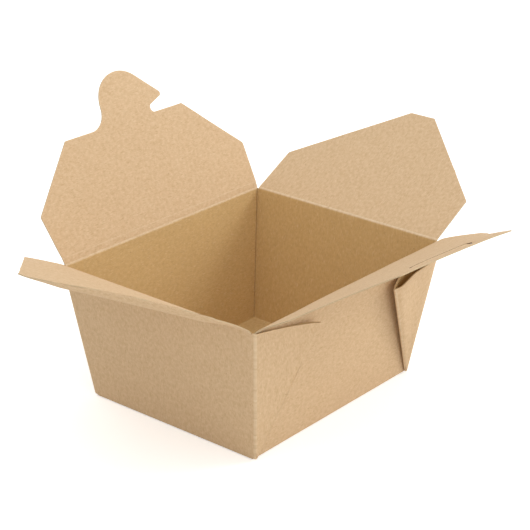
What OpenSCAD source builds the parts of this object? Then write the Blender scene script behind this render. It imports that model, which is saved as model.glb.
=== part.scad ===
// Takeaway box folded from one sheet of kraft board, with its four lid flaps open.
// All sizes in millimetres. The base rests on z = 0 and the long walls run along x.

/* [Box] */

// Length over the base
base_l = 110; // [96:1:118]
// Width over the base
base_w = 90; // [78:1:96]
// Length over the open top
top_l = 130.5; // [124:0.5:142]
// Width over the open top
top_w = 105; // [98:0.5:116]
// Height from the table to the creases of the tongue flap and the slot flap
box_h = 64; // [50:1:90]
// Thickness of the board
board = 0.5; // [0.35:0.05:0.7]

/* [Creases] */

// Thickness of the board where it is creased, as a multiple of the board
crease_swell = 1.2; // [1.1:0.05:1.5]
// Clear gap between a wall's top edge and the crease of its flap
seam = 0.3; // [0.25:0.05:0.6]
// How far the end flaps' creases sit below those of the tongue flap and the slot flap
crease_step = 1.0; // [0.95:0.05:2]

/* [Tongue flap and slot flap] */

// Width of both flaps at their side corners
wide_w = 134.6; // [124:0.1:136]
// Distance from the crease to the side corners
wide_at = 22.5; // [14:0.5:30]
// Width of the straight outer edge
edge_w = 77; // [68:1:100]
// Length of the tongue flap from the crease to its straight outer edge
tongue_flap_l = 50; // [46:1:54]
// Length of the slot flap from the crease to its outer edge
slot_flap_l = 59; // [56:1:64]
// Sideways gap between the crease of a flap and the corner of the box
crease_inset = 0.3; // [0.2:0.1:1]
// Radius of the corners of all four flaps
corner_r = 1.5; // [0.5:0.1:3]

/* [Tongue] */

// How far the tongue stands past the edge of its flap
tongue_h = 23.2; // [22:0.2:25]
// Radius of the tongue's head
head_r = 16.9; // [15.5:0.1:18]
// Sideways place of the head's centre
head_x = 5.4; // [2:0.1:8]
// Radius of the hollow where the tongue leaves the flap's edge
root_r = 10.5; // [8:0.5:14]
// Sideways place of the hook's nose
nose_x = 26.5; // [25:0.1:28]
// Height of the nose above the flap's edge
nose_up = 7.8; // [7:0.1:9]
// Radius of the nose
nose_r = 1.5; // [1:0.1:2]
// Radius of the notch under the nose
notch_r = 2.0; // [1.4:0.1:2.2]
// Sideways place of the notch
notch_x = 19.8; // [19:0.1:20.5]

/* [Slot] */

// Distance from the crease of the slot flap to the slot
slot_at = 50; // [44:0.5:52]
// Extra length of the slot over the tongue's neck
slot_play = 1.5; // [0.5:0.5:6]
// Width of the cut
slot_cut = 0.8; // [0.5:0.1:1.2]
// Radius of the curl at each end of the slot
curl_r = 1.9; // [1.4:0.1:2.2]

/* [End flaps] */

// Length of an end flap from the crease to its tip
end_flap_l = 69.5; // [60:0.5:72]
// Distance from the crease to the side corners of an end flap
end_wide_at = 25.7; // [16:0.1:32]
// Width of the tip of an end flap
end_tip_w = 13.5; // [8:0.5:24]
// Gap between an end flap and the inside of each long wall
end_gap = 0.5; // [0.4:0.1:1.5]

/* [Folded corners] */

// Angle of each half of the corner web, in degrees
web_angle = 37; // [34:0.5:40]
// Length of the web's fold from the foot of the box to its free tip
fold_l = 62.4; // [54:0.2:63]
// How far the free tip stands off the long wall
fold_lift = 5.8; // [3:0.1:7]
// How far the outer half of the web bellies out
belly = 2.6; // [1.5:0.1:3.4]
// Gap between two layers lying on each other
layer_gap = 0.15; // [0.1:0.05:0.3]

/* [Angles of the flaps] */

// Angle of the tongue flap above level, in degrees
tongue_lift = 59.8; // [40:0.1:75]
// Angle of the slot flap above level, in degrees
slot_lift = 28; // [10:0.1:50]
// Angle of the left end flap above level, in degrees
left_lift = 23.6; // [0:0.1:35]
// Angle of the right end flap above level, in degrees
right_lift = 27.6; // [0:0.1:35]

/* [Hidden] */

$fn = 48;

// Colours of the board outside and inside
kraft = [0.80, 0.66, 0.48];
kraft_inside = [0.84, 0.71, 0.54];

// Round crease of the board
roll_d = board * crease_swell;

// Middle of the board at the foot and at the mouth
foot_x = base_l / 2 - roll_d / 2;
foot_y = base_w / 2 - roll_d / 2;
foot_z = roll_d / 2;
rim_x = top_l / 2 - board / 2;
rim_y = top_w / 2 - board / 2;

// Where the walls stop under the creases of the flaps
long_top = box_h - roll_d - seam;
end_top = long_top - crease_step;
end_crease_z = box_h - crease_step;

// Room for two layers of web between a long wall and the end wall's edge
layer = board + layer_gap;
wrap = 2 * layer;

// Slope of a long wall, its direction up the wall and the one straight off it
slope_run = rim_y - foot_y;
slope_len = norm([slope_run, box_h - foot_z]);
up_wall = [0, slope_run, box_h - foot_z] / slope_len;
off_wall = [0, box_h - foot_z, -slope_run] / slope_len;

// Foot corner, the wall's top corner and the free tip of the web, seen on a long wall
web_foot = [foot_x, foot_y, foot_z];
edge_lean = atan2(rim_x - foot_x, slope_len);
tip_lean = web_angle - edge_lean;

// Point on a long wall from a distance in from the foot corner and one up the slope
function on_wall(inward, up, off) =
    web_foot + [-inward, 0, 0] + up_wall * up + off_wall * off;

// Distance up the corner, along the slope, at which the board reaches a height
function slope_at(z) = (z - foot_z) / (box_h - foot_z) * slope_len;

tip_in = fold_l * sin(tip_lean);
tip_up = fold_l * cos(tip_lean);

// Share of the web's width in which its inner half comes to lie a layer off the wall
settle = 1 / 6;
// Power of the curve by which the inner half leaves the wall towards the tip
part_power = 4;
// Share of the belly that leans towards the tip
belly_lean = 0.6;

// Stations along the free top edge of a web, from the corner to the tip
web_steps = 8;
function along(a, b, f) = a + (b - a) * f;
function inner_off(f) = layer * min(1, f / settle) + (fold_lift - layer) * pow(f, part_power);
function swell(f) = belly * 4 * f * (1 - f) * along(1 - belly_lean, 1, f);
function outer_off(f) = along(wrap, fold_lift, f) + swell(f);
function web_point(top, f, off) =
    on_wall(along(-tan(edge_lean) * top, tip_in, f), along(top, tip_up, f), off);
stations = [for (i = [0 : web_steps]) i / web_steps];
inner_edge = [for (f = stations) web_point(slope_at(long_top), f, inner_off(f))];
outer_edge = [for (f = stations) web_point(slope_at(end_top), f, outer_off(f))];

// Tongue, measured on its flap
head_at = [head_x, tongue_flap_l + tongue_h - head_r];
nose_at = [nose_x, tongue_flap_l + nose_up];
notch_at = [notch_x, tongue_flap_l + notch_r];
root_y = tongue_flap_l + root_r;
root_run = sqrt(pow(root_r + head_r, 2) - pow(root_y - head_at[1], 2));
root_at = [head_x - root_run, root_y];
touch_swing = atan2(root_at[1] - head_at[1], root_at[0] - head_at[0]);

// Neck of the tongue, which sets the length of the slot
neck_left = head_x - head_r;
neck_right = notch_x - notch_r;
slot_l = 2 * (max(-neck_left, neck_right) + slot_play);

// Directions from the circles' centres to the straight edges laid against them
function heading(a, b) = atan2(b[1] - a[1], b[0] - a[0]);
back_swing = heading(head_at, nose_at) + acos((head_r - nose_r) / norm(nose_at - head_at));
under_swing = heading(notch_at, nose_at) + acos((notch_r + nose_r) / norm(nose_at - notch_at));

// Round stretch of an outline from one direction to another
arc_steps = 12;
function arc(c, r, a, b) =
    [for (i = [0 : arc_steps]) let (t = along(a, b, i / arc_steps)) c + r * [cos(t), sin(t)]];

// Rounded corner at p between its neighbours a and c, all turning left
function corner(a, p, c) =
    let (
        in_dir = heading(a, p),
        turn = (heading(p, c) - in_dir + 360) % 360,
        back = corner_r * tan(turn / 2),
        start = p - back * [cos(in_dir), sin(in_dir)],
        centre = start + corner_r * [-sin(in_dir), cos(in_dir)]
    )
    arc(centre, corner_r, in_dir - 90, in_dir - 90 + turn);

// Top corners of a long wall and of an end wall, which carry the two halves of the web
long_corner = inner_edge[0];
end_corner = outer_edge[0];

// Width of an end flap, which drops between the long walls
end_w = top_w - 2 * board - 2 * end_gap;

// Round crease between two points
module rod(a, b) {
    hull()
        for (end = [a, b])
            translate(end) sphere(d = roll_d, $fn = 12);
}

// Flat panel of board through four corners given in turn
module panel(p) {
    n = cross(p[1] - p[0], p[3] - p[0]);
    h = n / norm(n) * board / 2;
    polyhedron(
        points = concat([for (q = p) q - h], [for (q = p) q + h]),
        faces = [[0, 1, 2, 3], [7, 6, 5, 4], [0, 4, 5, 1], [1, 5, 6, 2], [2, 6, 7, 3], [3, 7, 4, 0]]
    );
}

// Curved half of a web, spread like a fan from the foot to the stations of its top edge
module fan(edge) {
    last = len(edge) - 1;
    side = [for (i = [0 : last]) edge[min(i + 1, last)] - edge[max(i - 1, 0)]];
    lean = [for (i = [0 : last]) cross(edge[i] - web_foot, side[i])];
    half = [for (v = lean) v / norm(v) * board / 2];
    foot_half = -off_wall * board / 3;
    back = concat([web_foot - foot_half], [for (i = [0 : last]) edge[i] - half[i]]);
    front = concat([web_foot + foot_half], [for (i = [0 : last]) edge[i] + half[i]]);
    n = last + 2;
    polyhedron(
        points = concat(back, front),
        faces = concat(
            [for (i = [1 : last]) [0, i, i + 1]],
            [for (i = [1 : last]) [n, n + i + 1, n + i]],
            [for (i = [1 : last]) [i, n + i, i + 1]],
            [for (i = [1 : last]) [n + i, n + i + 1, i + 1]],
            [[0, n, 1], [n, n + 1, 1]],
            [[0, last + 1, n], [n, last + 1, n + last + 1]]
        )
    );
}

// Folded corner web at the corner with positive x and y
module web() {
    tip = inner_edge[web_steps];
    color(kraft)
    {
        fan(inner_edge);
        fan(outer_edge);
        for (end = [long_corner, end_corner, tip])
            rod(web_foot, end);
    }
}

// Bottom of the box
module floor_panel() {
    color(kraft_inside)
    translate([-foot_x, -foot_y, 0])
        cube([2 * foot_x, 2 * foot_y, board]);
}

// Wall on the positive y side between two foot corners and its two top corners
module wall(foot, top) {
    other_side = [-1, 1, 1];
    foot_b = [for (i = [0 : 2]) foot[i] * other_side[i]];
    top_b = [for (i = [0 : 2]) top[i] * other_side[i]];
    color(kraft)
    {
        panel([foot_b, foot, top, top_b]);
        rod(foot_b, foot);
        rod(top_b, top);
    }
}

// Long wall on the positive y side
module long_wall() {
    wall(web_foot, long_corner);
}

// End wall on the positive x side, wide enough to carry the webs round the corners
module end_wall() {
    mirror([1, -1, 0])
        wall([foot_y, foot_x, foot_z], [end_corner[1], end_corner[0], end_corner[2]]);
}

// Bottom, walls and folded corners, one sheet
module tray() {
    floor_panel();
    for (side = [0, 1]) {
        mirror([0, side, 0]) long_wall();
        mirror([side, 0, 0]) end_wall();
    }
    for (sx = [0, 1])
        for (sy = [0, 1])
            mirror([sx, 0, 0]) mirror([0, sy, 0]) web();
}

// Right-hand and left-hand side of a long wall's flap, crease along y = 0
function lid_right(length) =
    let (
        hinge = [rim_x - crease_inset, 0],
        wide = [wide_w / 2, wide_at],
        edge = [edge_w / 2, length]
    )
    concat([hinge], corner(hinge, wide, edge), corner(wide, edge, [0, length]));
function lid_left(length) =
    let (
        hinge = [crease_inset - rim_x, 0],
        wide = [-wide_w / 2, wide_at],
        edge = [-edge_w / 2, length]
    )
    concat(corner([0, length], edge, wide), corner(edge, wide, hinge), [hinge]);

// Hooked tongue standing on the edge of its flap, from its notch round to its root
tongue_edge = concat(
    arc(notch_at, notch_r, -90, under_swing - 360),
    arc(nose_at, nose_r, under_swing - 180, back_swing),
    arc(head_at, head_r, back_swing, touch_swing),
    arc(root_at, root_r, touch_swing - 180, -90)
);

// Long cut for the tongue, its ends curled towards the outer edge
module slot_outline() {
    straight = slot_l - 2 * curl_r;
    translate([-straight / 2, slot_at - slot_cut / 2]) square([straight, slot_cut]);
    for (side = [-1, 1])
        translate([side * straight / 2, slot_at + curl_r - slot_cut / 2])
        difference() {
            circle(r = curl_r);
            circle(r = curl_r - slot_cut);
            translate([side * (-curl_r - 1) - curl_r - 1, -curl_r - 1])
                square([2 * curl_r + 2, 2 * curl_r + 2]);
        }
}

// Outline of an end flap, crease along y = 0
end_hinge = [end_w / 2, 0];
end_wide = [end_w / 2, end_wide_at];
end_tip = [end_tip_w / 2, end_flap_l];
end_right = concat(
    [end_hinge],
    corner(end_hinge, end_wide, end_tip),
    corner(end_wide, end_tip, [0, end_flap_l])
);
end_left = [for (i = [len(end_right) - 1 : -1 : 0]) [-end_right[i][0], end_right[i][1]]];

// Rolled crease along the x axis
module rolled_crease(width) {
    translate([-width / 2, 0, 0])
        rotate([0, 90, 0])
        cylinder(d = roll_d, h = width);
}

// Board cut to an outline, middle of the board on z = 0
module cut_board() {
    translate([0, 0, -board / 2])
        linear_extrude(height = board)
        children();
}

// Flap with the hooked tongue, on the positive y side
module tongue_flap() {
    color(kraft_inside)
    translate([0, rim_y, box_h])
        rotate([tongue_lift, 0, 0])
        union() {
            cut_board()
                polygon(concat(lid_right(tongue_flap_l), tongue_edge, lid_left(tongue_flap_l)));
            rolled_crease(2 * (rim_x - crease_inset));
        }
}

// Flap with the slot, on the negative y side
module slot_flap() {
    color(kraft_inside)
    translate([0, -rim_y, box_h])
        rotate([0, 0, 180])
        rotate([slot_lift, 0, 0])
        union() {
            cut_board()
                difference() {
                    polygon(concat(lid_right(slot_flap_l), lid_left(slot_flap_l)));
                    slot_outline();
                }
            rolled_crease(2 * (rim_x - crease_inset));
        }
}

// End flap lying flat, before it is turned to its side
module end_flap() {
    union() {
        cut_board() polygon(concat(end_right, end_left));
        rolled_crease(end_w);
    }
}

// End flap on the negative x side
module left_end_flap() {
    color(kraft_inside)
    translate([-rim_x, 0, end_crease_z])
        rotate([0, 0, 90])
        rotate([left_lift, 0, 0])
        end_flap();
}

// End flap on the positive x side
module right_end_flap() {
    color(kraft_inside)
    translate([rim_x, 0, end_crease_z])
        rotate([0, 0, -90])
        rotate([right_lift, 0, 0])
        end_flap();
}

tray();
tongue_flap();
slot_flap();
left_end_flap();
right_end_flap();
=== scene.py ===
import math
from collections import namedtuple

import bmesh
import bpy
import numpy as np
from mathutils import Matrix, Vector, geometry


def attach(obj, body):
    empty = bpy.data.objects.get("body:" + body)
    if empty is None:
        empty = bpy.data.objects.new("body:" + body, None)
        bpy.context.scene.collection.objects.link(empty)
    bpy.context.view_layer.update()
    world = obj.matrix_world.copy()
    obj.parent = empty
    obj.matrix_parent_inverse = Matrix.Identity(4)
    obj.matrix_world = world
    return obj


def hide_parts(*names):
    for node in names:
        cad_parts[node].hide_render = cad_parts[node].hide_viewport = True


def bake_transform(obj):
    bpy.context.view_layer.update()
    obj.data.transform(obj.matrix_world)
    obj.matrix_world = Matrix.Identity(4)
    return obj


# Takeaway box folded from one sheet of kraft board. Sizes are in millimetres up to the
# meshes, which are in metres. x runs along the long walls, z is up, the base is on z = 0.

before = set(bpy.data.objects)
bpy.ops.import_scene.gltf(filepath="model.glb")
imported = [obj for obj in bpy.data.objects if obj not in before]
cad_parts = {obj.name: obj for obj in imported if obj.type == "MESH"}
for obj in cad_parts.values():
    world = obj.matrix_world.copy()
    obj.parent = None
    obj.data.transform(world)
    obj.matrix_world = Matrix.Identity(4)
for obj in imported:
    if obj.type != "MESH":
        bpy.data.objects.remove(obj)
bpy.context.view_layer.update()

MM = 0.001

# Sizes shared with the part's source
BOARD = 0.5                         # thickness
BOX_H = 64.0
FOOT = np.array([54.7, 44.7, 0.3])  # corner of the floor
RIM_X = 65.0                        # rim creases from the middle of the box
RIM_Y = 52.25
END_AXIS_Z = 63.0                   # height of the end flaps' creases
END_TOP_Z = 62.1                    # height of the end walls beside them
LID_HINGE = 64.7                    # half the length of a long wall's crease
WIDE_W = 134.6                      # long wall's flap: its greatest width and where that is
WIDE_AT = 22.5
EDGE_W = 77.0                       # its straight outer edge
TONGUE_L = 50.0                     # tongue flap up to its shoulders
SLOT_L = 59.0                       # slot flap
SLOT_AT = 48.5                      # its slot, 1.5 nearer the crease than in the source
CORNER_R = 1.5
END_L = 69.5                        # end flap, and where it starts to narrow
END_WIDE_AT = 25.7
END_TIP_W = 13.5
END_W = 103.0
WEB_ANGLE = 37.0                    # a web's half at the corner of the floor, in degrees
FOLD_L = 62.4                       # a web's free fold

# Sizes of the board's folds
FLOOR_Z = BOARD / 2 + 0.12          # middle of the floor's board
FOOT_R = 0.7                        # turn from the floor up to a wall
SEAM = 1.5                          # a wall stops this far under its crease, where its flap begins
LAYER = 0.66                        # from one layer of board to the next where they are pressed
TURN_R = 0.75                       # turn of a web's outer half on to the end wall
POCKET_FOOT = 0.9                   # long wall's side edge in from the end wall's plane, at the foot
POCKET_RIM = 1.1                    # and at the rim
REACH = 6.0                         # further from a fold or an edge the board is all alike
PRESSED = 0.75                      # least fold gap on a wall, where no pale line shows
CREST = 0.5                         # least fold gap at a corner, where a faint one does
SLOT_MARK = -0.2                    # edge gap that marks the slot's own edges


def unit(v):
    v = np.asarray(v, float)
    return v / np.linalg.norm(v)


def smooth(t):
    """Soft step from 0 to 1."""
    t = np.clip(t, 0.0, 1.0)
    return t * t * (3 - 2 * t)


def mixed(a, b, t):
    return a + (b - a) * t


# A long wall's direction up its slope and the one straight off it, and the end wall's
LONG_UP = unit([0.0, RIM_Y - FOOT[1], BOX_H - FOOT[2]])
LONG_OFF = np.array([0.0, LONG_UP[2], -LONG_UP[1]])
LONG_LEN = math.hypot(RIM_Y - FOOT[1], BOX_H - FOOT[2])
END_LEN = math.hypot(RIM_X - FOOT[0], END_AXIS_Z - FOOT[2])
END_LEAN = (RIM_X - FOOT[0]) / (END_AXIS_Z - FOOT[2])
END_UP = unit([END_LEAN, 0.0, 1.0])
EDGE_LEAN = math.atan2(RIM_X - FOOT[0], LONG_LEN)
TIP_LEAN = math.radians(WEB_ANGLE) - EDGE_LEAN


def curve_through(keys, f):
    """Value at f of a smooth curve through (place, value) keys."""
    xs = np.array([k[0] for k in keys])
    ys = np.array([k[1] for k in keys])
    slopes = np.gradient(ys, xs)
    i = int(np.clip(np.searchsorted(xs, f) - 1, 0, len(xs) - 2))
    h = xs[i + 1] - xs[i]
    t = (f - xs[i]) / h
    rise = ys[i] * (1 + 2 * t) * (1 - t) ** 2 + ys[i + 1] * t * t * (3 - 2 * t)
    return rise + h * (slopes[i] * t * (1 - t) ** 2 - slopes[i + 1] * t * t * (1 - t))


# Corner webs: how far each half stands off the long wall, from the corner at 0 to the tip at 1,
# the height of the top at the corner, and how much higher the tip is than in the source.
# The near right one is spread open, the near left one lies flatter, the far two between them.
WEB_OPEN = {
    "outer": [(0, 1.35), (0.12, 4.2), (0.25, 6.3), (0.45, 6.0), (0.62, 5.8), (0.8, 6.6),
              (0.92, 7.0), (1, 6.2)],
    "inner": [(0, LAYER), (0.5, 0.75), (0.7, 1.3), (0.85, 3.0), (1, 5.5)],
    "top": END_TOP_Z, "tip_rise": 0.0,
}
WEB_FLAT = {
    "outer": [(0, 1.35), (0.4, 1.42), (0.6, 1.9), (0.8, 2.7), (0.92, 3.4), (1, 4.3)],
    "inner": [(0, LAYER), (0.5, 0.68), (0.75, 0.85), (0.9, 1.8), (1, 3.5)],
    "top": 63.8, "tip_rise": 1.2,
}
WEB_FAR = {
    "outer": [(0, 1.35), (0.3, 3.1), (0.6, 5.4), (0.8, 6.3), (1, 6.0)],
    "inner": [(0, LAYER), (0.5, 0.8), (0.75, 1.7), (0.9, 3.4), (1, 5.3)],
    "top": 63.6, "tip_rise": 0.6,
}
WEBS = {(1, -1): WEB_OPEN, (-1, -1): WEB_FLAT, (1, 1): WEB_FAR, (-1, 1): WEB_FAR}

TURN_STEPS = 6
FOLD_STEPS = 8
HALF_STATIONS = [0.0, 0.012, 0.03, 0.06, 0.1, 0.16, 0.23, 0.31, 0.39, 0.47, 0.55, 0.62, 0.69,
                 0.76, 0.82, 0.87, 0.91, 0.945, 0.97, 0.985, 1.0]

# One column of the tray's sheet: its foot and top, their places on the flat sheet, the gap from
# its top to a fold, what it is part of, where it lies along that and on which side of the box,
# and how far it swells at half height
Column = namedtuple("Column", "foot top flat_foot flat_top gap part along side swell")
NO_SWELL = np.zeros(3)


def off_long(a, s, d):
    """Point a in from the end wall's plane, s up the long wall and d off it."""
    p = FOOT + LONG_UP * s + LONG_OFF * d
    p[0] = FOOT[0] + (p[2] - FOOT[2]) * END_LEAN - a
    return p


def slope_at(z):
    """How far up the long wall's slope a height is."""
    return (z - FOOT[2]) / LONG_UP[2]


def corner_columns(web):
    """Columns of the sheet round one corner, from the long wall to the end wall."""
    foot_s = FOOT_R * math.tan(math.pi / 4 - math.asin(LONG_UP[1]) / 2)
    top_s = LONG_LEN - SEAM
    out_s = slope_at(web["top"])
    wrap = 2 * LAYER
    tip = np.array([FOLD_L * math.sin(TIP_LEAN), FOLD_L * math.cos(TIP_LEAN) + web["tip_rise"]])
    columns = []

    def put(foot_point, top_point, reach, angle, gap):
        way = np.array([math.sin(angle), math.cos(angle)])
        flat_foot = FOOT[:2] + way * foot_s
        flat_top = FOOT[:2] + way * reach
        columns.append(Column(foot_point, top_point, flat_foot, flat_top, max(gap, CREST),
                              "web", 1, 1, NO_SWELL))

    # Hairpin at the long wall's side edge
    for i in range(FOLD_STEPS + 1):
        phi = math.pi * i / FOLD_STEPS - math.pi / 2
        a_in = LAYER / 2 * math.cos(phi)
        d_off = LAYER / 2 * (1 + math.sin(phi))
        low = off_long(POCKET_FOOT - a_in, foot_s, d_off)
        high = off_long(POCKET_RIM - a_in, top_s, d_off)
        put(low, high, top_s / math.cos(EDGE_LEAN), EDGE_LEAN, 0.0)

    def half(f, top, key, swing, corner_a, foot_place):
        """One station of a web half, from the corner at f 0 to the tip at f 1."""
        edge = off_long(corner_a, top, 0.0)
        start = np.array([FOOT[0] - edge[0], top])
        place = mixed(start, tip, f)
        high = FOOT + LONG_UP * place[1] + LONG_OFF * curve_through(web[key], f)
        high[0] = FOOT[0] - place[0]
        reach = math.hypot(place[0], place[1])
        lean = math.atan2(place[0], place[1]) + EDGE_LEAN
        width = max(lean, 0.0)
        angle = EDGE_LEAN + width
        gap = min(width, math.radians(WEB_ANGLE) - width) * reach
        if swing:
            angle = EDGE_LEAN + 2 * math.radians(WEB_ANGLE) - width
        put(foot_place, high, reach, angle, max(gap, 0.0))

    low_in = off_long(POCKET_FOOT, foot_s, LAYER)
    low_out = off_long(TURN_R, foot_s, wrap)
    for f in HALF_STATIONS[1:]:
        half(f, top_s, "inner", False, POCKET_RIM, low_in)
    # Hairpin at the free fold
    outer_off = web["outer"][-1][1]
    inner_off = web["inner"][-1][1]
    middle = FOOT + LONG_UP * tip[1] + LONG_OFF * (outer_off + inner_off) / 2
    middle[0] = FOOT[0] - tip[0]
    low_mid = (low_in + low_out) / 2
    spread = (outer_off - inner_off) / 2
    fold_way = EDGE_LEAN + math.radians(WEB_ANGLE)
    for i in range(1, FOLD_STEPS):
        phi = math.pi * i / FOLD_STEPS - math.pi / 2
        bulge = np.array([-math.cos(phi), 0.0, 0.0]) * spread
        high = middle + bulge + LONG_OFF * spread * math.sin(phi)
        low = low_mid + bulge * 0.5 + (low_out - low_in) / 2 * math.sin(phi)
        put(low, high, FOLD_L, fold_way, 0.0)
    for f in HALF_STATIONS[:0:-1]:
        half(f, out_s, "outer", True, TURN_R, low_out)
    # Turn on to the end wall
    for i in range(TURN_STEPS + 1):
        phi = math.pi / 2 * i / TURN_STEPS
        a_in = TURN_R * (1 - math.sin(phi))
        d_off = wrap - TURN_R * (1 - math.cos(phi))
        low = off_long(a_in, foot_s, d_off)
        high = off_long(a_in, out_s, d_off)
        put(low, high, out_s / math.cos(EDGE_LEAN), EDGE_LEAN + 2 * math.radians(WEB_ANGLE), 0.0)
    return columns


def mirrored(columns, sx, sy):
    """The same columns at another corner."""
    flip3 = np.array([sx, sy, 1.0])
    flip2 = np.array([sx, sy])
    return [c._replace(foot=c.foot * flip3, top=c.top * flip3, flat_foot=c.flat_foot * flip2,
                       flat_top=c.flat_top * flip2, along=sx, side=sy) for c in columns]


def foot_arc(lean_up, foot_out):
    """Turn from the floor up to a wall, as distance out and height."""
    steep = math.asin(lean_up)
    back = FOOT_R * math.tan(steep / 2)
    start = foot_out - back
    return [(start + FOOT_R * math.sin(a), FLOOR_Z + FOOT_R * (1 - math.cos(a)))
            for a in np.linspace(0.0, steep, TURN_STEPS + 1)]


LONG_ARC = foot_arc(LONG_UP[2], FOOT[1])
END_ARC = foot_arc(END_UP[2], FOOT[0])
WALL_ROWS = [0.0, 0.012, 0.03, 0.06] + list(np.linspace(0.1, 0.94, 29)) + [0.965, 0.985, 1.0]
ACROSS = [-0.992, -0.98, -0.96] + list(np.linspace(-0.93, 0.93, 45)) + [0.96, 0.98, 0.992]
WALL_BULGE = 0.35
SWELL_HALF = 0.15                   # a long wall swells over this share of its half length
SWELL_FADE = 0.3                    # and is flat again this much further on, before its webs
FOOT_HELD = 8                       # the lowest eighth of a wall is held straight by the floor
CREASE_END = 51.9                   # an end wall steps down to its crease's seam just past here
STEP_RUN = 0.6
FOOT_GAP_STEP = 0.15                # fold gap for each step from the middle of the foot's turn


class Sheet:
    """Middle surface of the board as points, faces and what the board's finish reads."""

    def __init__(self):
        self.points = []
        self.faces = []
        self.flat = []
        self.fold_gap = []
        self.edge_gap = []

    def add(self, point, flat, fold_gap, edge_gap, on_wall=0.0):
        self.points.append(np.asarray(point, float) * MM)
        self.flat.append((flat[0] * MM, flat[1] * MM, on_wall * MM))
        self.fold_gap.append(min(fold_gap, REACH) * MM)
        self.edge_gap.append(min(edge_gap, REACH) * MM)
        return len(self.points) - 1


def between(first, last, v):
    """Foot, top and their flat places on a wall, v from -1 at its first column to 1 at its last."""
    return [mixed(a, b, (v + 1) / 2) for a, b in zip(first[:4], last[:4])]


def tray_ring():
    """Columns all round the tray: each long wall, the corner after it, the end wall and the next
    corner, turned the other way."""
    ring = []
    corner = {key: mirrored(corner_columns(WEBS[key]), *key) for key in WEBS}
    for sy, sx in ((1, 1), (-1, -1)):
        first = corner[(-sx, sy)][0]
        last = corner[(sx, sy)][0]
        for v in ACROSS:
            full = 1 - smooth((abs(v) - SWELL_HALF) / SWELL_FADE)
            swell = np.array([0.0, WALL_BULGE * full * sy, 0.0])
            gap = (1 - abs(v)) * abs(last.top[0]) + PRESSED
            ring.append(Column(*between(first, last, v), gap, "long", v * sx, sy, swell))
        ring += corner[(sx, sy)]
        first = corner[(sx, sy)][-1]
        last = corner[(sx, -sy)][-1]
        for v in ACROSS:
            foot, top, flat_foot, flat_top = between(first, last, v)
            drop = smooth((CREASE_END - abs(top[1])) / STEP_RUN)
            drop = drop * (top[2] - END_AXIS_Z + SEAM * END_UP[2])
            top = top - np.array([END_LEAN * sx, 0.0, 1.0]) * drop
            swell = np.array([WALL_BULGE * (1 - v * v) ** 2 * sx, 0.0, 0.0])
            gap = (1 - abs(v)) * abs(last.top[1]) + PRESSED
            ring.append(Column(foot, top, flat_foot, flat_top, gap, "end", v, sx, swell))
        ring += corner[(sx, -sy)][::-1]
    return ring


def tray_sheet():
    """Floor, walls and folded corners as one sheet."""
    sheet = Sheet()
    ring = tray_ring()
    rows = []
    # Turn up from the floor
    for k in range(TURN_STEPS):
        y_k, z_k = LONG_ARC[k]
        x_k, z_e = END_ARC[k]
        gap = PRESSED + abs(k - TURN_STEPS / 2) * FOOT_GAP_STEP
        row = []
        for c in ring:
            if c.part == "long":
                p = (c.along * x_k, c.side * y_k, z_k)
            elif c.part == "end":
                p = (c.side * x_k, -c.along * c.side * y_k, z_e)
            else:
                p = (c.along * x_k, c.side * y_k, (z_k + z_e) / 2)
            row.append(sheet.add(p, (p[0], p[1]), gap, REACH))
        rows.append(row)
    # Walls and webs
    for t in WALL_ROWS:
        row = []
        for c in ring:
            p = mixed(c.foot, c.top, t) + c.swell * math.sin(math.pi * t) * smooth(t * FOOT_HELD)
            rise = t * LONG_LEN
            free = (1 - t) * LONG_LEN if c.part == "web" else REACH
            least = CREST if c.part == "web" else PRESSED
            gap = min(c.gap * t + least * (1 - t), rise + PRESSED)
            row.append(sheet.add(p, mixed(c.flat_foot, c.flat_top, t), gap, free))
        rows.append(row)
    count = len(ring)
    for low, high in zip(rows, rows[1:]):
        for j in range(count):
            n = (j + 1) % count
            sheet.faces.append((low[j], low[n], high[n], high[j]))
    # Floor inside the turns
    xs = [-END_ARC[0][0]] + [v * END_ARC[0][0] for v in ACROSS] + [END_ARC[0][0]]
    ys = [-LONG_ARC[0][0]] + [v * LONG_ARC[0][0] for v in ACROSS] + [LONG_ARC[0][0]]
    grid = []
    for y in ys:
        line = []
        for x in xs:
            gap = min(xs[-1] - abs(x), ys[-1] - abs(y)) + PRESSED
            line.append(sheet.add((x, y, FLOOR_Z), (x, y), gap, REACH))
        grid.append(line)
    for a, b in zip(grid, grid[1:]):
        for j in range(len(xs) - 1):
            sheet.faces.append((a[j], a[j + 1], b[j + 1], b[j]))
    return sheet


# Flap outlines, the crease along s = 0, the width along x
ARC_STEPS = 10
QUARTER = math.pi / 2
SEAM_TAPER = 0.9                    # a long wall's seam is this much shorter at each end


def arc(c, r, a, b):
    return [(c[0] + r * math.cos(t), c[1] + r * math.sin(t)) for t in np.linspace(a, b, ARC_STEPS)]


def heading(a, b):
    return math.atan2(b[1] - a[1], b[0] - a[0])


def rounded(a, p, c, r=CORNER_R):
    """Rounded corner at p between its neighbours a and c, turning left."""
    way = heading(a, p)
    turn = (heading(p, c) - way) % (2 * math.pi)
    back = r * math.tan(turn / 2)
    centre = (p[0] - back * math.cos(way) - r * math.sin(way),
              p[1] - back * math.sin(way) + r * math.cos(way))
    return arc(centre, r, way - QUARTER, way - QUARTER + turn)


def lid_side(length, sign):
    """Side of a long wall's flap, from its hinge to its straight outer edge."""
    hinge = (LID_HINGE, 0.0)
    wide = (WIDE_W / 2, WIDE_AT)
    edge = (EDGE_W / 2, length)
    right = [(LID_HINGE - SEAM_TAPER, -SEAM), hinge]
    right += rounded(hinge, wide, edge) + rounded(wide, edge, (0.0, length))
    return right if sign > 0 else [(-x, s) for x, s in reversed(right)]


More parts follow.
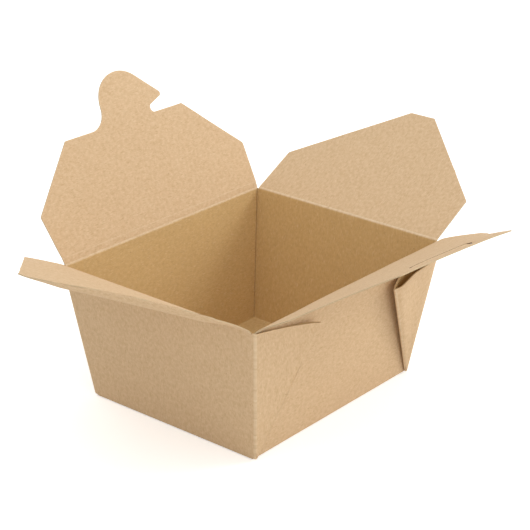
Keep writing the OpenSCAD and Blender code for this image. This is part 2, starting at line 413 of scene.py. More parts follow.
def tongue_outline():
    """Flap with the hooked tongue, its circles laid against each other as in the source."""
    head_r, nose_r, notch_r, root_r = 16.9, 1.5, 2.0, 10.5
    head = (5.4, TONGUE_L + 23.2 - head_r)
    nose = (26.5, TONGUE_L + 7.8)
    notch = (19.8, TONGUE_L + notch_r)
    root_s = TONGUE_L + root_r
    run = math.sqrt((root_r + head_r) ** 2 - (root_s - head[1]) ** 2)
    root = (head[0] - run, root_s)
    touch = heading(head, root) % (2 * math.pi)
    span = math.dist(nose, head)
    back = heading(head, nose) + math.acos((head_r - nose_r) / span)
    reach = math.dist(nose, notch)
    under = heading(notch, nose) + math.acos((notch_r + nose_r) / reach)
    tongue = arc(notch, notch_r, -QUARTER, under - 4 * QUARTER)
    tongue += arc(nose, nose_r, under - 2 * QUARTER, back)
    for k in range(3):
        tongue += arc(head, head_r, mixed(back, touch, k / 3), mixed(back, touch, (k + 1) / 3))
    tongue += arc(root, root_r, touch - 2 * QUARTER, -QUARTER)
    return lid_side(TONGUE_L, 1) + tongue + lid_side(TONGUE_L, -1)


def end_side(tip_x):
    """Side of an end flap, from its hinge round to its tip."""
    hinge = (END_W / 2, 0.0)
    wide = (END_W / 2, END_WIDE_AT)
    tip = (tip_x, END_L)
    return [(END_W / 2, -SEAM), hinge] + rounded(hinge, wide, tip) + rounded(wide, tip, (0.0, END_L))


def end_outline(tip_x=END_TIP_W / 2):
    """An end flap. The left one's far tip corner is cut a little wider."""
    return end_side(tip_x) + [(-x, s) for x, s in reversed(end_side(END_TIP_W / 2))]


def ribbon(path, width):
    """Closed outline of a cut of that width along a path."""
    path = np.array(path)
    way = np.gradient(path, axis=0)
    way /= np.linalg.norm(way, axis=1)[:, None]
    side = np.stack([-way[:, 1], way[:, 0]], 1) * width / 2
    return [tuple(p) for p in path - side] + [tuple(p) for p in (path + side)[::-1]]


def slot_cut():
    """The slot, with a long hook at the far end of its flap and a short one at the other."""
    hook_r = 1.9
    straight_end = 17.5
    width = 0.7
    near = arc((-18.2, SLOT_AT + hook_r), hook_r, -QUARTER, -3 * QUARTER)[::-1]
    far = arc((18.4, SLOT_AT + hook_r), hook_r, -QUARTER, 0.0)
    straight = [(x, SLOT_AT) for x in np.linspace(-straight_end, straight_end, 22)]
    back = [(x, SLOT_AT + 2 * hook_r) for x in (-13.2, -14.8, -16.4)]
    return ribbon(back + near + straight + far, width)


# Spacing of a flap's points: rows along its crease, then a grid, both kept clear of the outline
CREASE_ROWS = [-1.2, -0.9, -0.65, -0.45, -0.3, -0.15, 0.0, 0.15, 0.3, 0.45, 0.65, 0.9, 1.2, 1.6, 2.1,
               2.7, 3.4, 4.2]
CREASE_ZONE = 5.0
GRID = 2.4
GRID_START = 5.4
ROW_SPACING = 0.87                  # rows stand closer than columns, for even triangles
FIRST_COLUMN = 1.5
LAST_COLUMN = 1.4
EDGE_STEP = 2.2
CREASE_EDGE_STEP = 0.3
EDGE_ROOM = 0.8
CREASE_EDGE_ROOM = 0.13
SLOT_ROOM = 0.7
HAIR = 1e-6
ON_SLOT = 0.01                      # a point this near the cut is on it


def resampled(outline):
    """Outline with its long edges split, finer near the crease."""
    out = []
    for a, b in zip(outline, outline[1:] + outline[:1]):
        a, b = np.array(a), np.array(b)
        length = np.linalg.norm(b - a)
        if length < 1e-4:
            continue
        steep = abs(a[1] - b[1]) > abs(a[0] - b[0])
        step = CREASE_EDGE_STEP if min(a[1], b[1]) < CREASE_ZONE and steep else EDGE_STEP
        parts = max(1, round(length / step))
        for k in range(parts):
            out.append(a + (b - a) * k / parts)
    return np.array(out)


def gap_to(points, loop, skip_seam=False):
    """Distance from each point to a closed loop's edges, or to all but the seam with the wall."""
    a = loop
    b = np.roll(loop, -1, axis=0)
    if skip_seam:
        keep = ~((a[:, 1] < -SEAM + HAIR) & (b[:, 1] < -SEAM + HAIR))
        a = a[keep]
        b = b[keep]
    best = np.full(len(points), 1e9)
    for p, q in zip(a, b):
        d = q - p
        t = np.clip(((points - p) @ d) / (d @ d), 0, 1)
        best = np.minimum(best, np.linalg.norm(points - p - t[:, None] * d, axis=1))
    return best


def inside(points, loop):
    """Which points lie in a closed loop."""
    x, y = points[:, 0], points[:, 1]
    hit = np.zeros(len(points), bool)
    for (x1, y1), (x2, y2) in zip(loop, np.roll(loop, -1, axis=0)):
        cross = (y1 > y) != (y2 > y)
        with np.errstate(divide="ignore", invalid="ignore"):
            hit ^= cross & (x < (x2 - x1) * (y - y1) / (y2 - y1) + x1)
    return hit


def flap_net(outline, cut):
    """Triangles that fill a flap's outline, dense along the crease, and each point's edge gap."""
    loop = resampled(outline)
    low, high = loop.min(0), loop.max(0)
    columns = np.arange(low[0] + FIRST_COLUMN, high[0] - LAST_COLUMN, GRID)
    # The seam with the wall is split where the rows above it are
    seam = loop[:, 1] < -SEAM + HAIR
    first, last = loop[seam, 0].min(), loop[seam, 0].max()
    within = seam & (loop[:, 0] > first + HAIR) & (loop[:, 0] < last - HAIR)
    split = [(x, -SEAM) for x in columns if first + EDGE_ROOM < x < last - EDGE_ROOM]
    loop = np.concatenate([loop[~within], split])
    spots = []
    for s in CREASE_ROWS:
        spots += [(x, s) for x in columns]
    for k, s in enumerate(np.arange(GRID_START, high[1], GRID * ROW_SPACING)):
        shift = GRID / 2 * (k % 2)
        spots += [(x + shift, s) for x in np.arange(low[0], high[0], GRID)]
    spots = np.array(spots)
    room = np.where(spots[:, 1] < CREASE_ZONE, CREASE_EDGE_ROOM, EDGE_ROOM)
    keep = inside(spots, loop) & (gap_to(spots, loop) > room)
    loops = [loop]
    if cut is not None:
        cut = resampled(cut)
        keep &= ~inside(spots, cut) & (gap_to(spots, cut) > SLOT_ROOM)
        loops.append(cut)
    spots = spots[keep]
    verts = np.concatenate(loops + [spots])
    edges = []
    start = 0
    for part in loops:
        n = len(part)
        edges += [(start + i, start + (i + 1) % n) for i in range(n)]
        start += n
    found = geometry.delaunay_2d_cdt([Vector(v) for v in verts], edges, [], 0, 1e-5)
    points = np.array([tuple(v) for v in found[0]])
    faces = np.array([tuple(f) for f in found[2] if len(f) == 3])
    centre = points[faces].mean(1)
    keep = inside(centre, loop)
    gap = gap_to(points, loop, skip_seam=True)
    if cut is not None:
        keep &= ~inside(centre, cut)
        in_slot = gap_to(points, cut)
        gap = np.where(in_slot < ON_SLOT, SLOT_MARK, np.minimum(gap, in_slot))
    return points, [tuple(int(i) for i in f) for f in faces[keep]], gap


# How a flap bends: degrees above level, the share of the turn in the crease itself, the reach of
# the rest, a bow in degrees towards its end, and how far past the axis the crease lies
Bend = namedtuple("Bend", "lift share reach bow crest")
# A flap's piece and body, its outline and cut, its hinge and way out, its wall's slope, its bend
# and warp, the hinge's place on the flat sheet, and each fold line's place and least gap
Flap = namedtuple("Flap", "name body outline cut hinge out_way wall_rise bend warp flat folds")

PROFILE_END = 76.0
PROFILE_STEP = 0.05
CREASE_WIDTH = 0.9
BOW_START = 5
BOW_RUN = 55
WALL_EDGE = -0.4                    # under this a flap's piece is finished as the wall


def bend_profile(wall_rise, bend):
    """Path of the board over its crease: out, up and rise angle at each distance from the axis."""
    s = np.arange(-SEAM, PROFILE_END, PROFILE_STEP)
    past = s - bend.crest
    turn = bend.share * smooth((past + CREASE_WIDTH) / CREASE_WIDTH)
    turn = turn + (1 - bend.share) * smooth(past / bend.reach)
    rise = wall_rise + (math.radians(bend.lift) - wall_rise) * turn
    rise = rise + math.radians(bend.bow) * smooth((past - BOW_START) / BOW_RUN)
    out = np.concatenate([[0.0], np.cumsum(np.cos(rise[:-1]) * PROFILE_STEP)])
    up = np.concatenate([[0.0], np.cumsum(np.sin(rise[:-1]) * PROFILE_STEP)])
    return s, out - SEAM * math.cos(wall_rise), up - SEAM * math.sin(wall_rise), rise


def flap_sheet(flap):
    """Middle surface of a flap and the strip of wall just under its crease."""
    points, faces, edge = flap_net(flap.outline, flap.cut)
    s, out, up, rise = bend_profile(flap.wall_rise, flap.bend)
    out_way = np.array(flap.out_way, float)
    across = np.cross(out_way, [0.0, 0.0, 1.0])
    sheet = Sheet()
    for (x, t), gap in zip(points, edge):
        flat = across[:2] * x + out_way[:2] * (flap.flat + t)
        fold = min(abs(t - f) + w for f, w in flap.folds)
        on_wall = t < WALL_EDGE
        # The crease lies a little above or below the axis that the flap turns on
        t = t + flap.bend.crest * float(np.clip((t + SEAM) / SEAM, 0, 1))
        angle = np.interp(t, s, rise)
        normal = np.array([0.0, 0.0, math.cos(angle)]) - out_way * math.sin(angle)
        p = np.array(flap.hinge) + across * x + out_way * np.interp(t, s, out)
        p = p + np.array([0.0, 0.0, np.interp(t, s, up)]) + normal * flap.warp(x, max(t, 0.0))
        sheet.add(p, flat, fold, gap, 1.0 if on_wall else 0.0)
    sheet.faces = faces
    return sheet


# In metres: points closer than this become one, and shorter edges go
WELD = 2e-6
SHORTEST_EDGE = 1e-6


def mesh_object(name, sheet):
    """A sheet as a mesh, its doubled points merged and its faces turned one way."""
    mesh = bpy.data.meshes.new(name)
    mesh.from_pydata([tuple(p) for p in sheet.points], [], sheet.faces)
    for label, kind, values in (("flat_place", "FLOAT_VECTOR", np.array(sheet.flat).ravel()),
                                ("fold_gap", "FLOAT", sheet.fold_gap),
                                ("edge_gap", "FLOAT", sheet.edge_gap)):
        data = mesh.attributes.new(label, kind, "POINT").data
        data.foreach_set("vector" if kind == "FLOAT_VECTOR" else "value", values)
    bm = bmesh.new()
    bm.from_mesh(mesh)
    bmesh.ops.remove_doubles(bm, verts=bm.verts, dist=WELD)
    bmesh.ops.dissolve_degenerate(bm, edges=bm.edges, dist=SHORTEST_EDGE)
    bmesh.ops.recalc_face_normals(bm, faces=bm.faces)
    bm.to_mesh(mesh)
    bm.free()
    piece = bpy.data.objects.new(name, mesh)
    bpy.context.scene.collection.objects.link(piece)
    return piece


def add_node(tree, kind, inputs=None, **settings):
    """Adds a node, sets its properties, and sets or links its inputs by name or number."""
    node = tree.nodes.new(kind)
    for key, value in settings.items():
        setattr(node, key, value)
    for key, value in (inputs or {}).items():
        if isinstance(value, bpy.types.NodeSocket):
            tree.links.new(value, node.inputs[key])
        else:
            node.inputs[key].default_value = value
    return node


def linear(hex_code, alpha=1.0):
    """sRGB hex colour as Blender's linear colour."""
    parts = [int(hex_code[i:i + 2], 16) / 255 for i in (1, 3, 5)]
    return tuple(c / 12.92 if c <= 0.04045 else ((c + 0.055) / 1.055) ** 2.4 for c in parts) + (alpha,)


def new_material(name):
    material = bpy.data.materials.new(name)
    material.use_nodes = True
    tree = material.node_tree
    tree.nodes.clear()
    return material, tree


# Grains of the board: size in mm, detail and roughness of the noise. Clouds of the pulp, its
# flocks and its fine grain, patches where a worn line breaks up, and the marks of the felt.
GRAINS = {"clouds": (9.0, 2.0, 0.5), "flocks": (1.8, 2.0, 0.5), "fine": (0.8, 2.0, 0.6),
          "patches": (1.5, 2.0, 0.5), "felt": (0.5, 3.0, 0.6)}
# Fibres lie in four directions, each with its tint and strength. Real ones are 0.03 mm wide and
# 2 to 3 mm long: these are drawn 0.42 mm wide, so that they show.
FIBRES = ((0.15, "#A9824F", 0.36), (1.25, "#E9D2AE", 0.3), (2.3, "#A57C4B", 0.3), (2.9, "#EBD6B5", 0.25))
FIBRE_LENGTH = 2.6
FIBRE_WIDTH = 0.42
SPECK_SPACING = 5.0
SPECK_CHOICE = 0.62                 # about one cell in three gets its speck
PAPER_IOR = 1.5


def kraft_board(name, dark, light, shine):
    """Unbleached kraft paperboard, pressed between rollers: a fine grain of brown fibres laid in
    every direction, a few dark bark specks, dull, and paler along its folds: partly stretched fibres,
    partly a painted highlight on the crease's round."""
    material, tree = new_material(name)
    flat = add_node(tree, "ShaderNodeAttribute", attribute_name="flat_place").outputs["Vector"]
    fold = add_node(tree, "ShaderNodeAttribute", attribute_name="fold_gap").outputs["Fac"]
    edge = add_node(tree, "ShaderNodeAttribute", attribute_name="edge_gap").outputs["Fac"]
    grain = {}
    for label, (size, detail, rough) in GRAINS.items():
        grain[label] = add_node(tree, "ShaderNodeTexNoise", {
            "Vector": flat, "Scale": 1 / (size * MM), "Detail": detail, "Roughness": rough}).outputs[0]
    patchy = add_node(tree, "ShaderNodeMapRange", {
        "Value": grain["patches"], 1: 0.25, 2: 0.7, 3: 0.45, 4: 1.0},
        interpolation_type="SMOOTHSTEP").outputs[0]
    cells = add_node(tree, "ShaderNodeTexVoronoi", {
        "Vector": flat, "Scale": 1 / (SPECK_SPACING * MM)}).outputs
    chosen = add_node(tree, "ShaderNodeMath", {0: cells["Color"], 1: SPECK_CHOICE},
                      operation="GREATER_THAN").outputs[0]

    # Layers of tint: what each follows, between which two values, how strong it is at them,
    # where it is kept to, if anywhere, and its colour
    layers = [(grain["flocks"], 0.25, 0.75, 0.2, 0.8, None, light),
              (grain["clouds"], 0.3, 0.7, 0.0, 0.2, None, light),
              (grain["fine"], 0.42, 0.68, 0.0, 0.32, None, dark)]
    for turn, tint, strength in FIBRES:
        laid = add_node(tree, "ShaderNodeMapping", {
            "Vector": flat, "Rotation": (0.0, 0.0, turn),
            "Scale": (1 / (FIBRE_LENGTH * MM), 1 / (FIBRE_WIDTH * MM), 1.0)}).outputs[0]
        fibre = add_node(tree, "ShaderNodeTexNoise", {
            "Vector": laid, "Scale": 1.0, "Detail": 1.0, "Roughness": 0.5}).outputs[0]
        layers.append((fibre, 0.6, 0.74, 0.0, strength, None, tint))
    # Bark specks, a pale line along the folds that is partly stretched fibres and partly a painted
    # highlight, and rubbed fibres along the cut edges
    layers += [(cells["Distance"], 0.03, 0.07, 0.5, 0.0, chosen, "#8A6136"),
               (fold, 0.2 * MM, 0.75 * MM, 0.6, 0.0, patchy, "#EFDBBB"),
               (edge, 0.0, 0.7 * MM, 0.35, 0.0, patchy, "#E6CBA4")]
    color = linear(dark)
    for value, low, high, at_low, at_high, within, tint in layers:
        amount = add_node(tree, "ShaderNodeMapRange", {
            "Value": value, 1: low, 2: high, 3: at_low, 4: at_high},
            interpolation_type="SMOOTHSTEP").outputs[0]
        if within is not None:
            amount = add_node(tree, "ShaderNodeMath", {0: amount, 1: within},
                              operation="MULTIPLY").outputs[0]
        color = add_node(tree, "ShaderNodeMix", {0: amount, 6: color, 7: linear(tint)},
                         data_type="RGBA").outputs[2]

    dull = add_node(tree, "ShaderNodeMapRange", {
        "Value": grain["fine"], 1: 0.3, 2: 0.7, 3: shine, 4: shine + 0.1},
        interpolation_type="SMOOTHSTEP").outputs[0]
    relief = add_node(tree, "ShaderNodeMath", {0: grain["felt"], 1: grain["clouds"]}).outputs[0]
    bump = add_node(tree, "ShaderNodeBump", {
        "Strength": 0.35, "Distance": 0.05 * MM, "Height": relief}).outputs[0]
    skin = add_node(tree, "ShaderNodeBsdfPrincipled", {
        "Base Color": color, "Roughness": dull, "IOR": PAPER_IOR, "Specular IOR Level": 0.5,
        "Normal": bump})
    add_node(tree, "ShaderNodeOutputMaterial", {"Surface": skin.outputs[0]})
    return material


def kraft_edge():
    """Die-cut edge of the same board: the knife leaves the pressed plies open, paler and fuzzy.
    The narrow slot's walls are painted dark, a painted shade for the shadow down in the slot."""
    material, tree = new_material("kraft_cut_edge")
    place = add_node(tree, "ShaderNodeTexCoord").outputs["Object"]
    # Plies 0.35 mm apart
    plies = add_node(tree, "ShaderNodeTexNoise", {
        "Vector": place, "Scale": 1 / (0.35 * MM), "Detail": 3.0}).outputs[0]
    tint = add_node(tree, "ShaderNodeMix", {
        0: plies, 6: linear("#B39A76"), 7: linear("#D2BB98")}, data_type="RGBA").outputs[2]
    edge = add_node(tree, "ShaderNodeAttribute", attribute_name="edge_gap").outputs["Fac"]
    # The slot's walls are painted dark: a painted shade for the shadow down in the narrow slot
    slot_shade = add_node(tree, "ShaderNodeMath", {0: edge, 1: SLOT_MARK / 2 * MM}, operation="LESS_THAN")
    tint = add_node(tree, "ShaderNodeMix", {
        0: slot_shade.outputs[0], 6: tint, 7: linear("#6E5334")}, data_type="RGBA").outputs[2]
    bump = add_node(tree, "ShaderNodeBump", {
        "Strength": 0.5, "Distance": 0.05 * MM, "Height": plies}).outputs[0]
    skin = add_node(tree, "ShaderNodeBsdfPrincipled", {
        "Base Color": tint, "Roughness": 0.92, "IOR": PAPER_IOR, "Specular IOR Level": 0.3,
        "Normal": bump})
    add_node(tree, "ShaderNodeOutputMaterial", {"Surface": skin.outputs[0]})
    return material


def board_tree(face_material, top_side_material, strip_material, edge_material):
    """Gives a sheet its thickness: lets it cockle a little between its folds, as damp board does,
    draws it out to both sides, closes its cut edges and gives those their own finish."""
    tree = bpy.data.node_groups.new("board_from_sheet", "GeometryNodeTree")
    face = tree.interface
    face.new_socket("Geometry", in_out="INPUT", socket_type="NodeSocketGeometry")
    for label in ("Board thickness", "Cockle height", "Cockle length", "Seed"):
        face.new_socket(label, in_out="INPUT", socket_type="NodeSocketFloat")
    face.new_socket("Geometry", in_out="OUTPUT", socket_type="NodeSocketGeometry")
    start = add_node(tree, "NodeGroupInput").outputs
    flat = add_node(tree, "GeometryNodeInputNamedAttribute", {"Name": "flat_place"},
                    data_type="FLOAT_VECTOR").outputs[0]
    fold = add_node(tree, "GeometryNodeInputNamedAttribute", {"Name": "fold_gap"},
                    data_type="FLOAT").outputs[0]
    # Cockle: one soft noise over the flat sheet, held down towards the folds
    scale = add_node(tree, "ShaderNodeMath", {0: 1.0, 1: start["Cockle length"]}, operation="DIVIDE")
    waves = add_node(tree, "ShaderNodeTexNoise", {
        "Vector": flat, "W": start["Seed"], "Scale": scale.outputs[0], "Detail": 1.0},
        noise_dimensions="4D").outputs[0]
    free = add_node(tree, "ShaderNodeMapRange", {"Value": fold, 1: 0.0, 2: REACH * MM},
                    interpolation_type="SMOOTHSTEP").outputs[0]
    wave = add_node(tree, "ShaderNodeMath", {0: waves, 1: 0.5}, operation="SUBTRACT").outputs[0]
    height = add_node(tree, "ShaderNodeMath", {0: wave, 1: free}, operation="MULTIPLY").outputs[0]
    height = add_node(tree, "ShaderNodeMath", {0: height, 1: start["Cockle height"]},
                      operation="MULTIPLY").outputs[0]
    half = add_node(tree, "ShaderNodeMath", {0: start["Board thickness"], 1: -0.5},
                    operation="MULTIPLY").outputs[0]
    shift = add_node(tree, "ShaderNodeMath", {0: height, 1: half}).outputs[0]
    normal = add_node(tree, "GeometryNodeInputNormal").outputs[0]
    offset = add_node(tree, "ShaderNodeVectorMath", {0: normal, "Scale": shift}, operation="SCALE")
    back = add_node(tree, "GeometryNodeSetPosition", {
        "Geometry": start["Geometry"], "Offset": offset.outputs[0]}).outputs[0]
    drawn = add_node(tree, "GeometryNodeExtrudeMesh", {
        "Mesh": back, "Offset Scale": start["Board thickness"], "Individual": False})
    turned = add_node(tree, "GeometryNodeFlipFaces", {"Mesh": back}).outputs[0]
    both = add_node(tree, "GeometryNodeJoinGeometry", {0: drawn.outputs["Mesh"]})
    tree.links.new(turned, both.inputs[0])
    shut = add_node(tree, "GeometryNodeMergeByDistance", {
        "Geometry": both.outputs[0], "Distance": SHORTEST_EDGE}).outputs[0]
    whole = add_node(tree, "GeometryNodeRealizeInstances", {"Geometry": shut}).outputs[0]
    # The strip of wall that a flap's piece carries under its crease gets the tray inside's painted shade
    # on its inner side
    height_mark = add_node(tree, "ShaderNodeSeparateXYZ", {0: flat}).outputs["Z"]
    on_wall = add_node(tree, "ShaderNodeMath", {0: height_mark, 1: MM / 2},
                       operation="GREATER_THAN").outputs[0]
    spot = add_node(tree, "GeometryNodeInputPosition").outputs[0]
    facing = add_node(tree, "ShaderNodeVectorMath", {0: spot, 1: normal}, operation="DOT_PRODUCT")
    inward = add_node(tree, "ShaderNodeMath", {0: facing.outputs["Value"], 1: 0.0},
                      operation="LESS_THAN").outputs[0]
    inner_strip = add_node(tree, "ShaderNodeMath", {0: on_wall, 1: inward},
                           operation="MULTIPLY").outputs[0]
    finished = add_node(tree, "GeometryNodeSetMaterial", {
        "Geometry": whole, "Material": face_material}).outputs[0]
    for where, material in ((drawn.outputs["Top"], top_side_material), (inner_strip, strip_material),
                            (drawn.outputs["Side"], edge_material)):
        finished = add_node(tree, "GeometryNodeSetMaterial", {
            "Geometry": finished, "Selection": where, "Material": material}).outputs[0]
    add_node(tree, "NodeGroupOutput", {0: finished})
    return tree


COCKLE_HEIGHT = 0.5
COCKLE_LENGTH = 26
SHARP_ANGLE = math.radians(42)


def board_piece(name, sheet, tree, seed):
    """The finished piece of board, its thickness made by the tree and kept as a plain mesh."""
    draft = mesh_object(name + "_sheet", sheet)
    modifier = draft.modifiers.new("board", "NODES")
    modifier.node_group = tree
    settings = {"Board thickness": BOARD * MM, "Cockle height": COCKLE_HEIGHT * MM,
                "Cockle length": COCKLE_LENGTH * MM, "Seed": seed}
    for item in tree.interface.items_tree:
        if item.in_out == "INPUT" and item.name in settings:
            modifier[item.identifier] = float(settings[item.name])
    view = bpy.context.evaluated_depsgraph_get()
    mesh = bpy.data.meshes.new_from_object(draft.evaluated_get(view))
    mesh.name = name
    bpy.data.objects.remove(draft)
    bm = bmesh.new()
    bm.from_mesh(mesh)
    if bm.calc_volume(signed=True) < 0:
        bmesh.ops.reverse_faces(bm, faces=bm.faces)
    for f in bm.faces:
        f.smooth = True
    bm.to_mesh(mesh)
    bm.free()
    mesh.set_sharp_from_angle(angle=SHARP_ANGLE)
    piece = bpy.data.objects.new(name, mesh)
    bpy.context.scene.collection.objects.link(piece)
    return piece


board = kraft_board("kraft_paperboard", "#C6A67D", "#DBBD98", 0.78)
# The tray's inside: the same board painted darker and deeper in colour, a painted shade for the dim,
# bounce-lit inside of the box. The flaps' inner faces keep the plain board
inside_shade_board = kraft_board("kraft_inside_painted_shade", "#C3A16A", "#D5B57F", 0.66)
cut_edge = kraft_edge()
tray_tree = board_tree(inside_shade_board, board, inside_shade_board, cut_edge)
flap_tree = board_tree(board, board, inside_shade_board, cut_edge)

TRAY_SEED = 1
FIRST_FLAP_SEED = 3
tray_board = board_piece("tray_board", tray_sheet(), tray_tree, TRAY_SEED)
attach(tray_board, "tray")
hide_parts("tray")

LONG_RISE = math.atan2(LONG_UP[2], LONG_UP[1])
END_RISE = math.atan2(END_UP[2], END_UP[0])
LONG_FLAT = FOOT[1] + LONG_LEN
END_FLAT = FOOT[0] + END_LEN
LID_HALF = 67


# Warps: how far handling has bent each flap off its even bow, x across it and s from its crease
def no_warp(x, s):
    return 0.0


def tongue_warp(x, s):
    """The flap bows up a little along its middle, and its tongue and far corner lean back."""
    crown = 0.35 * smooth(s / 25) * (1 - (x / LID_HALF) ** 2)
    tongue_lean = 0.5 * smooth((s - TONGUE_L) / 20)
    corner_lean = 0.9 * smooth((x - 5) / 30) * smooth(s / 45)
    return crown - (tongue_lean + corner_lean)


def slot_warp(x, s):
    """The flap is wrung and bellied: its far side hangs, its near one less. The strip beyond the
    slot lies a little lower, and the tab inside the slot's hook is pressed down."""
    wrung, sag = (1.7, -3.6) if x < 0 else (2.1, -1.3)
    twist = wrung * (x / (EDGE_W / 2)) * (s / SLOT_L)
    hang = sag * (max(0.0, abs(x) - 5) / 62) ** 2 * smooth((s + 6) / 46)
    belly = 0.8 * (1 - (x / LID_HALF) ** 2) * max(0.0, 1 - ((s - 30) / 30) ** 2)
    past = smooth((s - SLOT_AT) / (SLOT_L - SLOT_AT))
    strip = smooth((19.5 - abs(x)) / 3) * smooth((s - SLOT_AT + 0.3) / 0.6) * (1 - past)
    tab_across = smooth((x + 20.0) / 0.5) * smooth((-12.5 - x) / 6)
    tab_along = smooth((SLOT_AT + 3.9 - s) / 0.5) * smooth((s - SLOT_AT - 0.1) / 0.3)
    eased = (twist + hang + belly + 0.3 * past) * smooth(s / 5)
    return eased - 0.47 * strip - 0.6 * tab_across * tab_along


def left_end_warp(x, s):
    """Its near margin has curled up in handling, most along the slant, its near shoulder stands
    up with it, and the whole flap is wrung a little the other way."""
    slant = unit([END_W - END_TIP_W, 2 * (END_L - END_WIDE_AT)])
    to_slant = (x + END_W / 2) * slant[1] - (s - END_WIDE_AT) * slant[0]
    margin = min(to_slant, x + END_W / 2, END_L - s)
    margin_width = 11.6
    # 0 at the tip, 1 where the slant ends, 2 at the crease
    along = np.clip((END_TIP_W / 2 - x) / ((END_W + END_TIP_W) / 2), 0, 1)
    along += np.clip(1 - s / END_WIDE_AT, 0, 1) * smooth((-x - 38) / 10)
    height = curve_through([(0, 1.0), (0.5, 3.5), (1, 2.9), (2, 0)], along)
    curl = height * max(0.0, 1 - margin / margin_width) ** 2
    shoulder = 0.4 * smooth((-x - 20) / 32) * smooth(s / 12)
    return (curl + shoulder) * smooth(s / 3) + 0.5 * x / (END_W / 2) * smooth(s / 26)


FLAPS = (
    Flap("tongue_flap_board", "tongue_flap", tongue_outline(), None, (0.0, RIM_Y, BOX_H), (0, 1, 0),
         LONG_RISE, Bend(59.8, 0.7, 4.0, 0.0, 0.0), tongue_warp, LONG_FLAT, ((-0.4, 0.0), (2.8, 0.35))),
    Flap("slot_flap_board", "slot_flap", lid_side(SLOT_L, 1) + lid_side(SLOT_L, -1), slot_cut(),
         (0.0, -RIM_Y, BOX_H), (0, -1, 0), LONG_RISE, Bend(29.4, 0.75, 7.8, -2.1, -0.6), slot_warp,
         LONG_FLAT, ((-0.4, 0.2),)),
    Flap("left_end_flap_board", "left_end_flap", end_outline(11.3), None, (-RIM_X, 0.0, END_AXIS_Z),
         (-1, 0, 0), END_RISE, Bend(24.5, 0.86, 4.0, -3.6, 1.0), left_end_warp, END_FLAT, ((0.0, 0.3),)),
    Flap("right_end_flap_board", "right_end_flap", end_outline(), None, (RIM_X, 0.0, END_AXIS_Z),
         (1, 0, 0), END_RISE, Bend(27.6, 0.93, 2.0, 0.0, 0.9), no_warp, END_FLAT, ((0.05, 0.15),)),
)
for seed, flap in enumerate(FLAPS, FIRST_FLAP_SEED):
    piece = board_piece(flap.name, flap_sheet(flap), flap_tree, seed)
    body = flap.body
    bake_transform(piece)
    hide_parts(body)


def seen_directly(tree):
    """1 for a ray from the camera, a mirror or clear stuff, 0 for one that carries light."""
    path = add_node(tree, "ShaderNodeLightPath").outputs
    seen = add_node(tree, "ShaderNodeMath", {0: path["Is Camera Ray"], 1: path["Is Glossy Ray"]})
    return add_node(tree, "ShaderNodeMath", {0: seen.outputs[0], 1: path["Is Transmission Ray"]},
                    use_clamp=True).outputs[0]


# Floor: plain white paper, brightened for the camera alone so that it reads as a white sweep
FLOOR_REACH = 3
FLOOR_GLOW = 0.42
floor_mesh = bpy.data.meshes.new("floor")
floor_mesh.from_pydata([(-FLOOR_REACH, -FLOOR_REACH, 0), (FLOOR_REACH, -FLOOR_REACH, 0),
                        (FLOOR_REACH, FLOOR_REACH, 0), (-FLOOR_REACH, FLOOR_REACH, 0)],
                       [], [(0, 1, 2, 3)])
floor = bpy.data.objects.new("floor", floor_mesh)
bpy.context.scene.collection.objects.link(floor)
white, tree = new_material("white_sweep_paper")
glow = add_node(tree, "ShaderNodeMath", {0: seen_directly(tree), 1: FLOOR_GLOW},
                operation="MULTIPLY").outputs[0]
paper = add_node(tree, "ShaderNodeBsdfDiffuse", {"Color": linear("#F4F4F2")}).outputs[0]
lit = add_node(tree, "ShaderNodeEmission", {"Strength": glow}).outputs[0]
both = add_node(tree, "ShaderNodeAddShader", {0: paper, 1: lit}).outputs[0]
add_node(tree, "ShaderNodeOutputMaterial", {"Surface": both})
floor_mesh.materials.append(white)

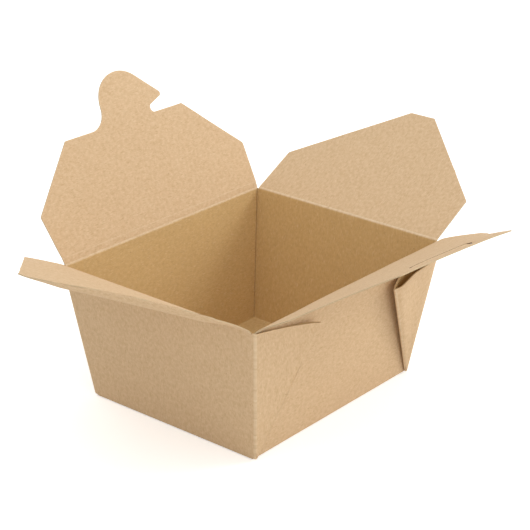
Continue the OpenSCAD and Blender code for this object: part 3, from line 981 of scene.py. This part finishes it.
# Light: an even pale room and four soft lamps, the strongest from the front right
ROOM_LIGHT = 0.725
world = bpy.data.worlds.new("studio")
bpy.context.scene.world = world
world.use_nodes = True
tree = world.node_tree
tree.nodes.clear()
room = add_node(tree, "ShaderNodeMapRange", {
    "Value": seen_directly(tree), 3: ROOM_LIGHT, 4: 1.0}).outputs[0]
sky = add_node(tree, "ShaderNodeBackground", {"Color": linear("#FFFFFF"), "Strength": room}).outputs[0]
add_node(tree, "ShaderNodeOutputWorld", {"Surface": sky})

# Each lamp's place and width in metres, and its watts
AIM = Vector((0.0, 0.0, 0.04))
LAMPS = (("key", (0.86, -0.67, 0.62), 0.6, 5.3), ("front", (-0.5, -1.2, 0.6), 0.8, 2.3),
         ("top", (-0.35, 0.0, 1.35), 1.1, 3.2), ("back", (-0.2, 0.9, 1.1), 0.9, 1.6))
for name, place, width, watts in LAMPS:
    light = bpy.data.lights.new(name, "AREA")
    light.shape = "DISK"
    light.size = width
    light.energy = watts
    light.color = linear("#FFFFFF")[:3]
    lamp = bpy.data.objects.new(name, light)
    bpy.context.scene.collection.objects.link(lamp)
    lamp.location = place
    lamp.rotation_mode = "QUATERNION"
    lamp.rotation_quaternion = (AIM - Vector(place)).to_track_quat("-Z", "Y")

# Camera, where the photograph's was
AZIMUTH = math.radians(-51.2)
ELEVATION = math.radians(22.7)
ROLL = math.radians(0.92)
DISTANCE = 0.75911
SHIFT_RIGHT = 4.64 * MM
SHIFT_UP = 23.92 * MM
SENSOR = 36.0
LENS = 115.94
CLIP_START = 0.02
back = Vector((math.sin(AZIMUTH) * math.cos(ELEVATION), -math.cos(AZIMUTH) * math.cos(ELEVATION),
               math.sin(ELEVATION)))
level = (-back).cross(Vector((0, 0, 1))).normalized()
plumb = level.cross(-back)
right = level * math.cos(ROLL) + plumb * math.sin(ROLL)
upright = plumb * math.cos(ROLL) - level * math.sin(ROLL)
target = Vector((0, 0, BOX_H / 2 * MM)) + right * SHIFT_RIGHT + upright * SHIFT_UP
lens = bpy.data.cameras.new("camera")
lens.sensor_width = SENSOR
lens.lens = LENS
lens.clip_start = CLIP_START
camera = bpy.data.objects.new("camera", lens)
bpy.context.scene.collection.objects.link(camera)
turned = Matrix((right, upright, back)).transposed().to_4x4()
camera.matrix_world = Matrix.Translation(target + back * DISTANCE) @ turned
bpy.context.scene.camera = camera
bpy.context.scene.view_settings.view_transform = "Standard"
